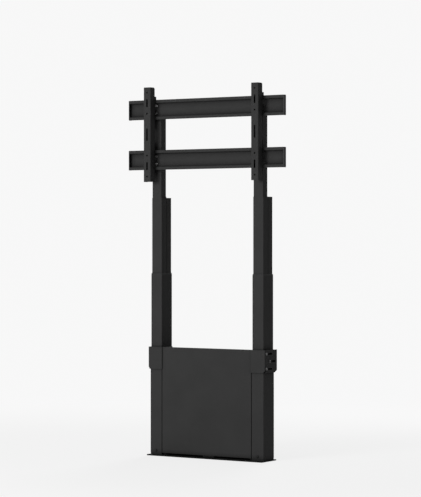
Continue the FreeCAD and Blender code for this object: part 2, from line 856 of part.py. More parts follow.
def lift_nut(side, x):
    """Plate across the inner tube with the nut that rides on the second screw."""
    label = side + "_lift_nut"
    body = new_body(label)
    plate = new_sketch(body, "XY")
    held = 2 * d.seat_gap
    rounded_rectangle(plate, inner_cavity_wide - held, inner_cavity_deep - held, cavity_corner)
    pad(body, plate, d.lift_plate)
    nut = new_sketch(body, "XY")
    circle(nut, d.lift_nut_radius)
    pad(body, nut, d.lift_plate + d.lift_nut_long)
    bore = new_sketch(body, "XY")
    circle(bore, d.second_radius + d.fit)
    pocket(body, bore, backwards=True)
    place(body, x, 0, lift_plate_low + carriage_travel)
    keep(label, body)


# Shaft and motor

def hexagon(sketch, flats):
    reach = as_size(flats) / math.sqrt(3)
    polygon(sketch, [
        (reach * math.cos(math.pi * i / 3), reach * math.sin(math.pi * i / 3))
        for i in range(6)
    ])


def cross_shaft():
    body = new_body("cross_shaft")
    sketch = new_sketch(body, "YZ")
    hexagon(sketch, d.shaft_flats)
    long = d.column_pitch - 2 * d.hub_inside - 2 * d.shaft_gap
    pad(body, sketch, long, both_ways=True)
    place(body, 0, 0, shaft_z)
    keep("cross_shaft", body)


def shaft_hubs():
    """Hubs of the two gearboxes and of the gearmotor, each with a hexagonal bore."""
    reach = column_x - d.hub_inside - d.hub_long / 2
    pieces = []
    motor_hub = d.motor_case_wide + 4 * d.case_boss_high
    hub_lengths = ((-reach, d.hub_long), (reach, d.hub_long), (0, motor_hub))
    for x, long in hub_lengths:
        body = new_body(f"shaft_hub_{len(pieces) + 1}")
        sketch = new_sketch(body, "YZ")
        circle(sketch, d.hub_radius)
        hexagon(sketch, d.shaft_flats + 2 * d.seat_gap)
        pad(body, sketch, long, both_ways=True)
        place(body, x, 0, shaft_z)
        pieces.append(body)
    group("shaft_hubs", pieces)


def gearmotor():
    """Worm gear case astride the cross shaft with the motor standing on it."""
    body = new_body("gearmotor")
    case = new_sketch(body, "XY")
    rounded_rectangle(case, d.motor_case_wide, d.motor_case_deep, d.tube_corner)
    pad(body, case, d.motor_case_high)
    bosses = new_sketch(body, "YZ")
    circle(bosses, d.case_boss, 0, shaft_z - d.plate_thick)
    pad(body, bosses, d.motor_case_wide + 2 * d.case_boss_high, both_ways=True)
    neck = new_sketch(body, "XY", d.motor_case_high)
    circle(neck, d.motor_radius - d.motor_step)
    pad(body, neck, d.motor_neck + d.motor_long)
    can = new_sketch(body, "XY", d.motor_case_high + d.motor_neck)
    circle(can, d.motor_radius)
    pad(body, can, d.motor_long - d.motor_cap)
    top = (d.motor_case_high + d.motor_neck + d.motor_long).number
    dress(body, "Fillet", d.motor_round, lambda edge: edge.BoundBox.ZMin > top - 0.01)
    bore = new_sketch(body, "YZ")
    circle(bore, d.hub_radius + d.fit, 0, shaft_z - d.plate_thick)
    pocket(body, bore, 2 * d.motor_case_wide, both_ways=True)
    place(body, 0, 0, d.plate_thick)
    keep("gearmotor", body)


# Cabinet

cabinet_wide = d.column_pitch - d.outer_wide
cover_wide = cabinet_wide - 2 * d.cover_gap
cover_high = d.column_top - d.cover_foot
tray_front = front + d.cover_fold + d.cover_gap
tray_back = tray_front + d.tray_deep
tray_top = d.column_top - d.tray_drop


def front_cover():
    """Folded sheet: a flat face with a return on all four sides."""
    body = new_body("front_cover")
    sketch = new_sketch(body, "XZ")
    rectangle(sketch, cover_wide, cover_high, up=cover_high / 2)
    pad(body, sketch, d.cover_fold, backwards=True)
    dress(body, "Fillet", d.cover_round, lambda edge: edge.BoundBox.YMax < 0.01)
    hollow = new_sketch(body, "XZ", -d.cover_fold)
    folds = 2 * d.cover_sheet
    rectangle(hollow, cover_wide - folds, cover_high - folds, up=cover_high / 2)
    pocket(body, hollow, d.cover_fold - d.cover_sheet, backwards=True)
    place(body, 0, front, d.cover_foot)
    keep("front_cover", body)


def rear_tray():
    """Folded tray behind the cover: back, sides, top and a lip round the open front."""
    body = new_body("rear_tray")
    high = tray_top - d.plate_thick
    outside = new_sketch(body, "XY")
    rectangle(outside, cabinet_wide, d.tray_deep, up=d.tray_deep / 2)
    pad(body, outside, high)
    inside = new_sketch(body, "XY")
    walls = 2 * d.cover_sheet
    rectangle(inside, cabinet_wide - walls, d.tray_deep - walls, up=d.tray_deep / 2)
    pocket(body, inside, high - d.cover_sheet, backwards=True)
    window = new_sketch(body, "XZ")
    half = cabinet_wide / 2 - d.tray_lip
    polygon(window, [(-half, 0), (half, 0), (half, high - d.tray_lip), (-half, high - d.tray_lip)])
    pocket(body, window, d.cover_sheet + d.over_cut)
    shaft_holes = new_sketch(body, "YZ")
    circle(shaft_holes, d.hub_radius + d.hub_room, -tray_front, shaft_z - d.plate_thick)
    pocket(body, shaft_holes, 2 * cabinet_wide, both_ways=True)
    inlet = new_sketch(body, "XZ", -d.tray_deep)
    across, up = inlet_spot()
    room = 2 * d.inlet_gap
    rectangle(inlet, d.inlet_wide + room, d.inlet_high + room, across, up - d.plate_thick)
    pocket(body, inlet, d.cover_sheet + d.over_cut, backwards=True)
    place(body, 0, tray_front, d.plate_thick)
    keep("rear_tray", body)


def cover_studs():
    pieces = []
    across = cabinet_wide / 2 - d.tray_lip / 2
    long = d.cover_fold + d.cover_gap - d.cover_sheet
    for side in (-1, 1):
        for up in (d.stud_low, d.stud_high):
            body = new_body(f"cover_stud_{len(pieces) + 1}")
            slope_end = d.stud_head + d.stud_slope
            revolve(body, [
                (0, 0), (d.stud_radius, 0), (d.stud_radius, d.stud_head),
                (d.stud_neck, slope_end), (d.stud_neck, long - slope_end),
                (d.stud_radius, long - d.stud_head), (d.stud_radius, long), (0, long),
            ])
            turn(body, (1, 0, 0), 90)
            place(body, side * across, tray_front, up)
            pieces.append(body)
    group("cover_studs", pieces)


def inlet_spot():
    """Centre of the mains inlet: (distance from the middle, height above the floor)."""
    return cabinet_wide / 2 - 2 * d.tray_lip - d.inlet_wide, d.plate_thick + d.inlet_up


def control_box():
    """Moulded box screwed to the tray's back by two ears, with jacks in its lower side."""
    body = new_body("control_box")
    sketch = new_sketch(body, "XZ")
    rounded_rectangle(sketch, d.box_wide, d.box_high, d.box_corner)
    pad(body, sketch, d.box_deep)
    far = -d.box_deep.number
    dress(body, "Fillet", d.box_round, lambda edge: edge.BoundBox.YMax < far + 0.01)
    ears = new_sketch(body, "XZ")
    span = d.box_wide + 2 * d.ear_wide
    rounded_rectangle(ears, span, d.ear_high, d.box_corner)
    pad(body, ears, d.ear_thick)
    ear_holes = new_sketch(body, "XZ")
    for side in (-1, 1):
        circle(ear_holes, d.ear_hole, side * (d.box_wide + d.ear_wide) / 2)
    pocket(body, ear_holes, 2 * d.ear_thick, both_ways=True)
    jacks = new_sketch(body, "XY", -d.box_high / 2)
    count = int(d.jack_count.number)
    for i in range(count):
        across = (i - (count - 1) / 2) * d.jack_pitch
        rectangle(jacks, d.jack_wide, d.jack_high, across, -d.box_deep / 2)
    pocket(body, jacks, d.jack_deep, backwards=True)
    place(body, -cabinet_wide / 4, tray_back - d.cover_sheet, d.box_up)
    keep("control_box", body)


def power_supply():
    """Finned supply on the tray's back."""
    body = new_body("power_supply")
    sketch = new_sketch(body, "XZ")
    rectangle(sketch, d.supply_wide, d.supply_high)
    pad(body, sketch, d.supply_deep)
    fins = new_sketch(body, "XZ", d.supply_deep)
    count = int(d.fin_count.number)
    border = 2 * d.fin_margin
    pitch = (d.supply_wide - border) / count
    for i in range(count):
        across = (i - (count - 1) / 2) * pitch
        rectangle(fins, pitch / 2, d.supply_high - border, across)
    pocket(body, fins, d.fin_deep)
    place(body, cabinet_wide / 4, tray_back - d.cover_sheet, d.supply_up)
    keep("power_supply", body)


def mains_inlet():
    """Socket for the mains lead in the tray's back, facing the wall."""
    body = new_body("mains_inlet")
    sketch = new_sketch(body, "XZ")
    rectangle(sketch, d.inlet_wide, d.inlet_high)
    pad(body, sketch, d.inlet_deep)
    rim = new_sketch(body, "XZ")
    wide, high = d.inlet_wide + 2 * d.inlet_rim, d.inlet_high + 2 * d.inlet_rim
    rounded_rectangle(rim, wide, high, d.inlet_rim_corner)
    pad(body, rim, d.inlet_rim_thick, backwards=True)
    socket = new_sketch(body, "XZ", -d.inlet_rim_thick)
    side = d.inlet_wide / 2 - d.inlet_wall
    top = d.inlet_high / 2 - d.inlet_wall
    cut = d.inlet_cut
    polygon(socket, [
        (-side, -top), (side, -top), (side, top - cut), (side - cut, top), (cut - side, top),
        (-side, top - cut),
    ])
    pocket(body, socket, d.socket_deep, backwards=True)
    across, up = inlet_spot()
    place(body, across, tray_back, up)
    keep("mains_inlet", body)


# Wall rail and clamps

rail_middle = d.column_top - d.clamp_high / 2
rail_long = d.column_pitch + d.outer_wide - 2 * d.rail_end
nut_plate_thick = d.wall_gap - d.rail_sheet - d.clamp_rear - d.seat_gap
nut_plate_x = rail_long / 2 - d.nut_plate_inset - d.nut_plate_wide / 2
nut_plate_high = d.rail_high - 2 * (d.rail_sheet + d.tab_gap)
rail_screw_y = d.clamp_rear + nut_plate_thick / 2


def clamp_spots():
    """Screws in a cheek: (distance behind the columns' centre, height above the floor)."""
    near, far = front + d.clamp_front, front + d.clamp_middle
    pitch = d.clamp_pitch
    return [(near, rail_middle + pitch), (far, rail_middle), (near, rail_middle - pitch)]


def wall_rail():
    """Channel on the wall, open to the front; the columns' backs stand against it."""
    body = new_body("wall_rail")
    sketch = new_sketch(body, "YZ")
    half = d.rail_high / 2
    web = d.wall_gap - d.rail_sheet
    polygon(sketch, [
        (0, half), (0, half - d.rail_sheet), (web, half - d.rail_sheet),
        (web, d.rail_sheet - half), (0, d.rail_sheet - half), (0, -half),
        (d.wall_gap, -half), (d.wall_gap, half),
    ])
    pad(body, sketch, rail_long, both_ways=True)
    outer_bend = d.bend + d.rail_sheet
    round_folds(body, (1, 0, 0), [(d.wall_gap, -half), (d.wall_gap, half)], outer_bend)
    inner = half - d.rail_sheet
    round_folds(body, (1, 0, 0), [(web, -inner), (web, inner)], d.bend)
    slots = new_sketch(body, "XZ", -d.wall_gap)
    for side_x in (-1, 1):
        for side_z in (-1, 1):
            across, up = side_x * d.rail_slot_x / 2, side_z * d.rail_slot_z / 2
            slot(slots, d.rail_slot_long, d.rail_slot_radius, across, up)
    pocket(body, slots, 2 * d.rail_sheet, backwards=True)
    screw_holes = new_sketch(body, "XY")
    for side in (-1, 1):
        circle(screw_holes, d.bolt_radius + d.seat_gap, side * nut_plate_x, rail_screw_y)
    pocket(body, screw_holes, 2 * d.rail_high, both_ways=True)
    place(body, 0, back, rail_middle)
    keep("wall_rail", body)


def wall_clamp(side, x, outboard):
    """Folded plate round a column: front flange, cheek with three slots, rear tab."""
    label = side + "_wall_clamp"
    body = new_body(label)
    high, thick, past = d.clamp_high, d.clamp_sheet, d.over_cut
    cheek_out = d.outer_wide / 2 + d.clamp_out
    cheek_in = cheek_out - thick
    flange_end = d.outer_wide / 2 + d.clamp_over
    rear = back + d.clamp_rear
    tab_end = nut_plate_x - d.nut_plate_wide / 2 - column_x
    plan = new_sketch(body, "XY")
    polygon(plan, [
        (-outboard * flange_end, front), (-outboard * flange_end, front - thick),
        (outboard * cheek_out, front - thick), (outboard * cheek_out, rear),
        (outboard * tab_end, rear), (outboard * tab_end, rear - thick),
        (outboard * cheek_in, rear - thick), (outboard * cheek_in, front),
    ])
    pad(body, plan, high)
    outside = [(outboard * cheek_out, front - thick), (outboard * cheek_out, rear)]
    round_folds(body, (0, 0, 1), outside, d.bend + thick)
    inside = [(outboard * cheek_in, front), (outboard * cheek_in, rear - thick)]
    round_folds(body, (0, 0, 1), inside, d.bend)
    tab_cuts = new_sketch(body, "XZ", -rear)
    tab_wide = cheek_in - tab_end + past
    trim = (high - nut_plate_high) / 2
    for up in (trim / 2, high - trim / 2):
        rectangle(tab_cuts, tab_wide, trim, outboard * (cheek_in - tab_wide / 2), up)
    pocket(body, tab_cuts, thick, backwards=True)
    rear_corner = new_sketch(body, "YZ")
    polygon(rear_corner, [
        (rear, d.clamp_cut), (rear - d.clamp_back_cut, 0), (rear - d.clamp_back_cut, -past),
        (rear + past, -past), (rear + past, d.clamp_cut),
    ])
    pocket(body, rear_corner, 4 * cheek_out, both_ways=True)
    front_corner = new_sketch(body, "XZ", -front)
    slant = cheek_out - d.clamp_cut
    polygon(front_corner, [
        (outboard * cheek_out, d.clamp_cut), (outboard * slant, 0), (outboard * slant, -past),
        (outboard * (cheek_out + past), -past), (outboard * (cheek_out + past), d.clamp_cut),
    ])
    pocket(body, front_corner, 3 * thick, both_ways=True)
    slots = new_sketch(body, "YZ")
    shift = d.clamp_slot / 2 - d.clamp_slot_radius
    for across, up in clamp_spots():
        up = up - (rail_middle - high / 2)
        slot(slots, d.clamp_slot, d.clamp_slot_radius, across + shift, up)
    pocket(body, slots, 2 * cheek_out, backwards=outboard > 0)
    place(body, x, 0, rail_middle - high / 2)
    keep(label, body)


def clamp_spacers():
    """Bars between each cheek and its column, one for every screw."""
    pieces = []
    thick = d.clamp_out - d.clamp_sheet
    for side in (-1, 1):
        for across, up in clamp_spots():
            body = new_body(f"clamp_spacer_{len(pieces) + 1}")
            sketch = new_sketch(body, "YZ")
            circle(sketch, d.bolt_head_radius)
            circle(sketch, d.bolt_radius + d.seat_gap)
            pad(body, sketch, thick, both_ways=True)
            place(body, side * (column_x + d.outer_wide / 2 + thick / 2), across, up)
            pieces.append(body)
    group("clamp_spacers", pieces)


def clamp_screws():
    """Screws through the cheeks into the columns, and through the rail into the nut plates."""
    pieces = []

    def add(long, axis, angle, x, y, z):
        piece = screw(f"clamp_screw_{len(pieces) + 1}", long)
        turn(piece, axis, angle)
        place(piece, x, y, z)
        pieces.append(piece)

    reach = column_x + d.outer_wide / 2 + d.clamp_out
    into_plate = d.rail_sheet + d.tab_gap + d.nut_plate_grip
    for side in (-1, 1):
        for across, up in clamp_spots():
            add(d.clamp_out + d.tube_wall, (0, 1, 0), side * 90, side * reach, across, up)
        for end, angle in ((-1, 180), (1, 0)):
            up = rail_middle + end * d.rail_high / 2
            add(into_plate, (1, 0, 0), angle, side * nut_plate_x, back + rail_screw_y, up)
    group("clamp_screws", pieces)


def nut_plates():
    """Steel blocks welded behind the clamps' tabs, inside the rail's ends."""
    pieces = []
    for side in (-1, 1):
        body = new_body(f"nut_plate_{len(pieces) + 1}")
        sketch = new_sketch(body, "XZ")
        rectangle(sketch, d.nut_plate_wide, nut_plate_high)
        pad(body, sketch, nut_plate_thick, backwards=True)
        hole = new_sketch(body, "XY")
        circle(hole, d.bolt_radius + d.seat_gap, 0, nut_plate_thick / 2)
        pocket(body, hole, 2 * nut_plate_high, both_ways=True)
        place(body, side * nut_plate_x, back + d.clamp_rear, rail_middle)
        pieces.append(body)
    group("nut_plates", pieces)


# Head that the lift raises

bar_front = -inner_deep / 2 - d.bar_deep
arm_front = bar_front - d.arm_back_gap - d.arm_deep
upright_top = d.vesa_up + d.bar_apart / 2 + d.bar_bolt_apart / 2 + d.upright_over


def upright(side, x):
    """Welded upright: plug and foot plate on the inner tube, square tube, cap and gusset."""
    label = side + "_upright"
    body = new_body(label)
    foot = new_sketch(body, "XY")
    rounded_rectangle(foot, inner_wide, inner_deep, d.tube_corner)
    pad(body, foot, d.head_plate)
    plug = new_sketch(body, "XY")
    held = 2 * d.seat_gap
    rounded_rectangle(plug, inner_cavity_wide - held, inner_cavity_deep - held, cavity_corner)
    pad(body, plug, d.head_plug, backwards=True)
    hollow = new_sketch(body, "XY", -d.head_plug)
    walls = 2 * d.plug_wall
    wide, deep = inner_cavity_wide - walls, inner_cavity_deep - walls
    rounded_rectangle(hollow, wide, deep, cavity_corner)
    pocket(body, hollow, d.head_plug - d.plug_floor, backwards=True)
    long = upright_top - inner_top - carriage_travel
    middle = d.upright_deep / 2 - inner_deep / 2
    post = new_sketch(body, "XY", d.head_plate)
    rectangle(post, d.upright_wide, d.upright_deep, up=middle)
    pad(body, post, long - d.head_plate)
    bore = new_sketch(body, "XY", d.head_plate)
    wall = 2 * d.upright_wall
    rectangle(bore, d.upright_wide - wall, d.upright_deep - wall, up=middle)
    pocket(body, bore, long - d.head_plate - d.upright_wall, backwards=True)
    rib = new_sketch(body, "YZ")
    behind = d.upright_deep - inner_deep / 2
    root, low = behind - d.over_cut, d.head_plate - d.over_cut
    reach, top = inner_deep / 2 - d.gusset_inset, d.head_plate + d.gusset_high
    polygon(rib, [(root, low), (reach, low), (reach, d.head_plate), (behind, top), (root, top)])
    pad(body, rib, d.gusset_thick, both_ways=True)
    bolt_holes = new_sketch(body, "XZ", inner_deep / 2)
    for up in bar_bolt_heights():
        circle(bolt_holes, d.bolt_radius + d.seat_gap, 0, up - inner_top - carriage_travel)
    pocket(body, bolt_holes, 2 * d.upright_wall)
    place(body, x, 0, inner_top + carriage_travel)
    keep(label, body)


def bar_bolt_heights():
    """Heights of the screws that hold the crossbars to an upright."""
    half = d.bar_bolt_apart / 2
    heights = []
    for end in (-1, 1):
        centre = d.vesa_up + end * d.bar_apart / 2
        heights += [centre - half, centre + half]
    return heights


def crossbar(label, end):
    """Channel open to the front; its lips turn up at the top and down at the bottom."""
    body = new_body(label)
    sketch = new_sketch(body, "YZ")
    half, thick, deep = d.bar_high / 2, d.bar_sheet, d.bar_deep
    tip = half + d.bar_lip
    polygon(sketch, [
        (0, -half), (0, half), (thick - deep, half), (thick - deep, tip), (-deep, tip),
        (-deep, half - thick), (-thick, half - thick), (-thick, thick - half),
        (-deep, thick - half), (-deep, -tip), (thick - deep, -tip), (thick - deep, -half),
    ])
    pad(body, sketch, d.bar_long, both_ways=True)
    inner, hollow = half - thick, thick - deep
    outside = [(0, -half), (0, half), (-deep, -inner), (-deep, inner)]
    round_folds(body, (1, 0, 0), outside, d.bend + thick)
    inside = [(-thick, -inner), (-thick, inner), (hollow, -half), (hollow, half)]
    round_folds(body, (1, 0, 0), inside, d.bend)
    holes = new_sketch(body, "XZ")
    for column in (-1, 1):
        for side in (-1, 1):
            up = side * d.bar_bolt_apart / 2
            circle(holes, d.bolt_radius + d.seat_gap, column * column_x, up)
    pocket(body, holes, 4 * thick, both_ways=True)
    place(body, 0, -inner_deep / 2, d.vesa_up + end * d.bar_apart / 2)
    keep(label, body)


def crossbar_screws():
    pieces = []
    for column in (-1, 1):
        for up in bar_bolt_heights():
            long = d.bar_sheet + d.upright_wall + d.bolt_past
            piece = screw(f"crossbar_screw_{len(pieces) + 1}", long)
            turn(piece, (1, 0, 0), 90)
            place(piece, column * column_x, -inner_deep / 2 - d.bar_sheet, up)
            pieces.append(piece)
    group("crossbar_screws", pieces)


def crossbar_caps():
    """Plastic plates that close the crossbars' ends and stop the arms."""
    pieces = []
    for end in (-1, 1):
        for side in (-1, 1):
            body = new_body(f"crossbar_cap_{len(pieces) + 1}")
            sketch = new_sketch(body, "YZ")
            rounded_rectangle(sketch, d.bar_deep, d.bar_high + 2 * d.bar_lip, d.cap_corner)
            pad(body, sketch, d.cap_thick, both_ways=True)
            across = side * (d.bar_long + d.cap_thick) / 2
            place(body, across, bar_front + d.bar_deep / 2, d.vesa_up + end * d.bar_apart / 2)
            pieces.append(body)
    group("crossbar_caps", pieces)


def vesa_arm(side, x):
    """Folded channel with hooks over the upper crossbar's lip and holes for the display."""
    label = side + "_vesa_arm"
    body = new_body(label)
    half = d.vesa_high / 2 + d.arm_end
    lip_top = d.bar_apart / 2 + d.bar_high / 2 + d.bar_lip + d.rest_gap
    lip_near = bar_front - d.hook_gap - arm_front
    lip_far = bar_front + d.bar_sheet + d.hook_gap - arm_front
    leg_far = lip_far + d.hook_leg
    rear, thick = d.arm_deep, d.arm_sheet
    profile = new_sketch(body, "YZ")
    hook_low, hook_top = lip_top - d.hook_reach, lip_top + d.hook_back
    polygon(profile, [
        (0, -half), (rear, -half), (rear, hook_low), (lip_near, hook_low), (lip_near, lip_top),
        (lip_far, lip_top), (lip_far, hook_low), (leg_far, hook_low), (leg_far, hook_top),
        (rear, hook_top), (rear, half), (0, half),
    ])
    pad(body, profile, d.arm_wide, both_ways=True)
    round_folds(body, (1, 0, 0), [(rear, -half), (rear, half)], d.arm_corner)
    side_out, side_in = d.arm_wide / 2, d.arm_wide / 2 - thick
    round_folds(body, (0, 0, 1), [(-side_out, 0), (side_out, 0)], d.bend + thick)
    inside = new_sketch(body, "YZ")
    reach, end = leg_far + d.over_cut, half + d.over_cut
    polygon(inside, [(thick, -end), (reach, -end), (reach, end), (thick, end)])
    pocket(body, inside, 2 * side_in, both_ways=True)
    round_folds(body, (0, 0, 1), [(-side_in, thick), (side_in, thick)], d.bend)
    holes = new_sketch(body, "XZ")
    for end in (-1, 1):
        outer_hole, inner_hole = end * d.vesa_high / 2, end * d.vesa_high / 4
        circle(holes, d.vesa_radius, 0, outer_hole)
        circle(holes, d.vesa_radius, 0, inner_hole)
        middle = (outer_hole + inner_hole) / 2
        slot(holes, d.arm_slot, d.vesa_radius, 0, middle, upright=True)
    slot(holes, d.arm_middle_slot, d.vesa_radius, 0, 0, upright=True)
    pocket(body, holes, 4 * thick, both_ways=True)
    place(body, x, arm_front, d.vesa_up)
    keep(label, body)


def arm_lock(side, x):
    """Hook inside the arm's foot that holds the lower crossbar's lip from below."""
    label = side + "_arm_lock"
    body = new_body(label)
    lip_low = -d.bar_apart / 2 - d.bar_high / 2 - d.bar_lip - d.rest_gap
    thick = d.lock_thick
    near = d.arm_sheet
    far = bar_front + d.bar_sheet + d.hook_gap - arm_front
    sketch = new_sketch(body, "YZ")
    foot, tail = lip_low - thick, lip_low - thick - d.lock_drop
    hook_top = lip_low + d.hook_reach
    polygon(sketch, [
        (near, tail), (near + thick, tail), (near + thick, foot), (far + thick, foot),
        (far + thick, hook_top), (far, hook_top), (far, lip_low), (near, lip_low),
    ])
    pad(body, sketch, d.lock_wide, both_ways=True)
    place(body, x, arm_front, d.vesa_up)
    keep(label, body)


# The whole lift

base_plate()
floor_screws()
tube_screws()
for side, hand in (("left", -1), ("right", 1)):
    x = hand * column_x
    outer, middle = (d.outer_wide, d.outer_deep), (middle_wide, middle_deep)
    inner = (inner_wide, inner_deep)
    cavity, middle_cavity = (cavity_wide, cavity_deep), (middle_cavity_wide, middle_cavity_deep)
    foot_block(side, x)
    outer_tube(side, x, -hand)
    middle_tube(side, x)
    inner_tube(side, x)
    liner(side + "_outer_liner", x, outer_tube_top, outer, middle)
    liner(side + "_middle_liner", x, middle_tube_top + middle_travel, middle, inner)
    shoe(side + "_middle_shoe", x, middle_low + middle_travel - d.shoe_lip, middle, cavity)
    shoe(side + "_inner_shoe", x, inner_low + carriage_travel - d.shoe_lip, inner, middle_cavity)
    gearbox(side, x, -hand)
    ring(side + "_screw_bearing", x, gearbox_top - d.bearing_high, d.bearing_radius,
         d.journal_radius + d.fit, d.bearing_high)
    drive_screw(side, x)
    nut_carrier(side, x)
    drive_nut(side, x)
    ring(side + "_thrust_bearing", x, thrust_floor + middle_travel, d.thrust_radius,
         d.second_journal + d.fit, d.thrust_high)
    second_screw(side, x)
    lift_nut(side, x)
    wall_clamp(side, x, hand)
    upright(side, x)
    vesa_arm(side, hand * d.vesa_wide / 2)
    arm_lock(side, hand * d.vesa_wide / 2)
cross_shaft()
shaft_hubs()
gearmotor()
front_cover()
rear_tray()
cover_studs()
control_box()
power_supply()
mains_inlet()
wall_rail()
clamp_spacers()
clamp_screws()
nut_plates()
crossbar("lower_crossbar", -1)
crossbar("upper_crossbar", 1)
crossbar_screws()
crossbar_caps()
doc.recompute()

# Every object has to be sound before a file is written
for item in doc.Objects:
    if "Invalid" in item.State or "Error" in item.State:
        raise RuntimeError(f"{item.Label} is {item.State}")
for label, item in nodes:
    if item.Shape.isNull() or not item.Shape.isValid():
        raise RuntimeError(f"{label} has no sound shape")

os.makedirs("parts", exist_ok=True)
for label, item in nodes:
    item.Shape.exportStep(f"parts/{label}.step")
print(len(nodes), "nodes written")
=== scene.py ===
"""Looks of the telescopic TV lift: finishes, screws and welds, floor, light and camera."""

import json
import math

import bmesh
import bpy
from mathutils import Matrix, Vector


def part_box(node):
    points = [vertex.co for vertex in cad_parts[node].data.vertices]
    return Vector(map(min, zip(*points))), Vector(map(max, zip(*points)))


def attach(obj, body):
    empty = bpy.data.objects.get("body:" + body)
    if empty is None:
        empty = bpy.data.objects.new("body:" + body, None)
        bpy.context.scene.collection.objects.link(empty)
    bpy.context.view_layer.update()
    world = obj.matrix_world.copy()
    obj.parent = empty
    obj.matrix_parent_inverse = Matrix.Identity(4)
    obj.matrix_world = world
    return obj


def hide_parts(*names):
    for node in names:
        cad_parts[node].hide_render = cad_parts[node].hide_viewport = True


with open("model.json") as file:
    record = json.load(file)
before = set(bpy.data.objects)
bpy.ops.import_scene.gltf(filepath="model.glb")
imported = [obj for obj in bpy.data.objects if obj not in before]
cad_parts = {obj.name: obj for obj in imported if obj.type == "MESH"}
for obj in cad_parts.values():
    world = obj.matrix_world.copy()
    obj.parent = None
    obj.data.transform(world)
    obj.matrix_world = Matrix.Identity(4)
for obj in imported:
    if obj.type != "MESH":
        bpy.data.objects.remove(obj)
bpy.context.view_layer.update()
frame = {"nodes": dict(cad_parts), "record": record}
bpy.ops.object.select_all(action="DESELECT")

MM = 0.001

# View: the camera stands to the lift's front right, level, about ten metres away
VIEW_TURN = math.radians(32.6)
VIEW_PLACE = Vector((5.44, -8.5175, 1.035))
VIEW_LENS = 154.9
VIEW_SHIFT_SIDE = 0.0006
VIEW_SHIFT_UP = -0.0199

# Light: one broad soft lamp in front and one behind, and a pale room all round
ROOM_COLOUR = (1, 1, 1, 1)
ROOM_LEVEL = 0.25
BACKGROUND = (0.935, 0.935, 0.935, 1)
LAMP_AIM = Vector((0, 0, 0.8))
LAMP_SIZE = 2.6
KEY_PLACE = Vector((-1.2, -5.5, 1.9))
KEY_POWER = 268
BACK_PLACE = Vector((-1.2, 5.4, 2.2))
BACK_POWER = 200

# Floor: partly glowing near the lift, and wholly in the background's colour from far out
FLOOR_SIZE = 60
FLOOR_COLOUR = (0.88, 0.88, 0.88, 1)
FLOOR_ROUGHNESS = 0.9
FLOOR_SPECULAR = 0.1
FLOOR_GLOW = 0.84
FLOOR_NEAR = 1.2
FLOOR_FAR = 3.5

# Finishes: the usual range of a noise, the coats, the shading of edges, and painted shade in
# corners
NOISE_LOW = 0.3
NOISE_HIGH = 0.7
GREY_COAT = (0.0302, 0.0302, 0.0302)
# The base plate's coat: black, darker than the columns' so that it paints the shade along the
# lift's foot
PLATE_SHADE_COAT = (0.012, 0.012, 0.012)
COAT_DARK = 0.93
COAT_LIGHT = 1.07
EDGE = 0.6 * MM
EDGE_SAMPLES = 4
# Painted shade in corners, from ambient occlusion: how far it looks, how it is spread, its darkest
# share and its samples
PAINTED_SHADE_REACH = 30 * MM
PAINTED_SHADE_START = 0.5
PAINTED_SHADE_LEAST = 0.4
PAINTED_SHADE_SAMPLES = 12

# Selecting and cutting: the least share of a face's normal along the way it faces, how
# exactly a point meets a place, and how far a cutter reaches past what it cuts
FACING = 0.9
HAIR = 0.001 * MM
CUTTER_SPARE = 1 * MM

# Screws: domed heads on washers, in place of the plain ones
SCREW_HEAD = 5.3 * MM
SCREW_HEAD_HIGH = 4 * MM
SCREW_SIDES = 48
SCREW_DOME = 1.7 * MM
SCREW_DOME_STEPS = 5
SCREW_SHANK = 3 * MM
SCREW_POINT = 0.8
SCREW_SOCKET = 2.3 * MM
SCREW_SOCKET_DEEP = 2 * MM
SCREW_SOCKET_SIDES = 6
SCREW_SMOOTH = math.radians(35)
WASHER = 6.8 * MM
WASHER_HOLE = 1.08 * SCREW_SHANK
WASHER_THICK = 1 * MM
WASHER_EDGE = 0.3 * MM
WASHER_EDGE_STEPS = 2
CLAMP_SCREW_LONG = 12 * MM
CLAMP_SCREW_FRONT = 11 * MM
CLAMP_SCREW_MIDDLE = 40 * MM
CLAMP_SCREW_PITCH = 35 * MM
RAIL_SCREW_INSET = 16 * MM
RAIL_SCREW_FRONT = 7.5 * MM
FOOT_SCREW_UP = 11 * MM
FOOT_SCREW_LONG = 12 * MM
BAR_SHEET = 3 * MM
BAR_SCREW_UP = 18 * MM
BAR_SCREW_LONG = 11 * MM

# Welds at the uprights' feet
WELD = 2 * MM
WELD_STEP = 1.7 * MM
WELD_RIPPLE = 0.75
UPRIGHT_FOOT = 28 * MM
POST_DEEP = 40 * MM
GUSSET_HALF = 2.5 * MM
GUSSET_CLEAR = 2 * GUSSET_HALF
GUSSET_LOW = 4 * MM
GUSSET_WELD_LONG = 56 * MM

# Pins of the mains inlet
PIN_WIDE = 4 * MM
PIN_THICK = 2 * MM
PIN_LONG = 14 * MM
PIN_APART = 7 * MM
PIN_OFFSET = 2.5 * MM
PIN_TIP_INSET = 0.4 * MM
PIN_TIP_LONG = 0.8 * MM
SOCKET_DEEP = 18 * MM


# Finishes

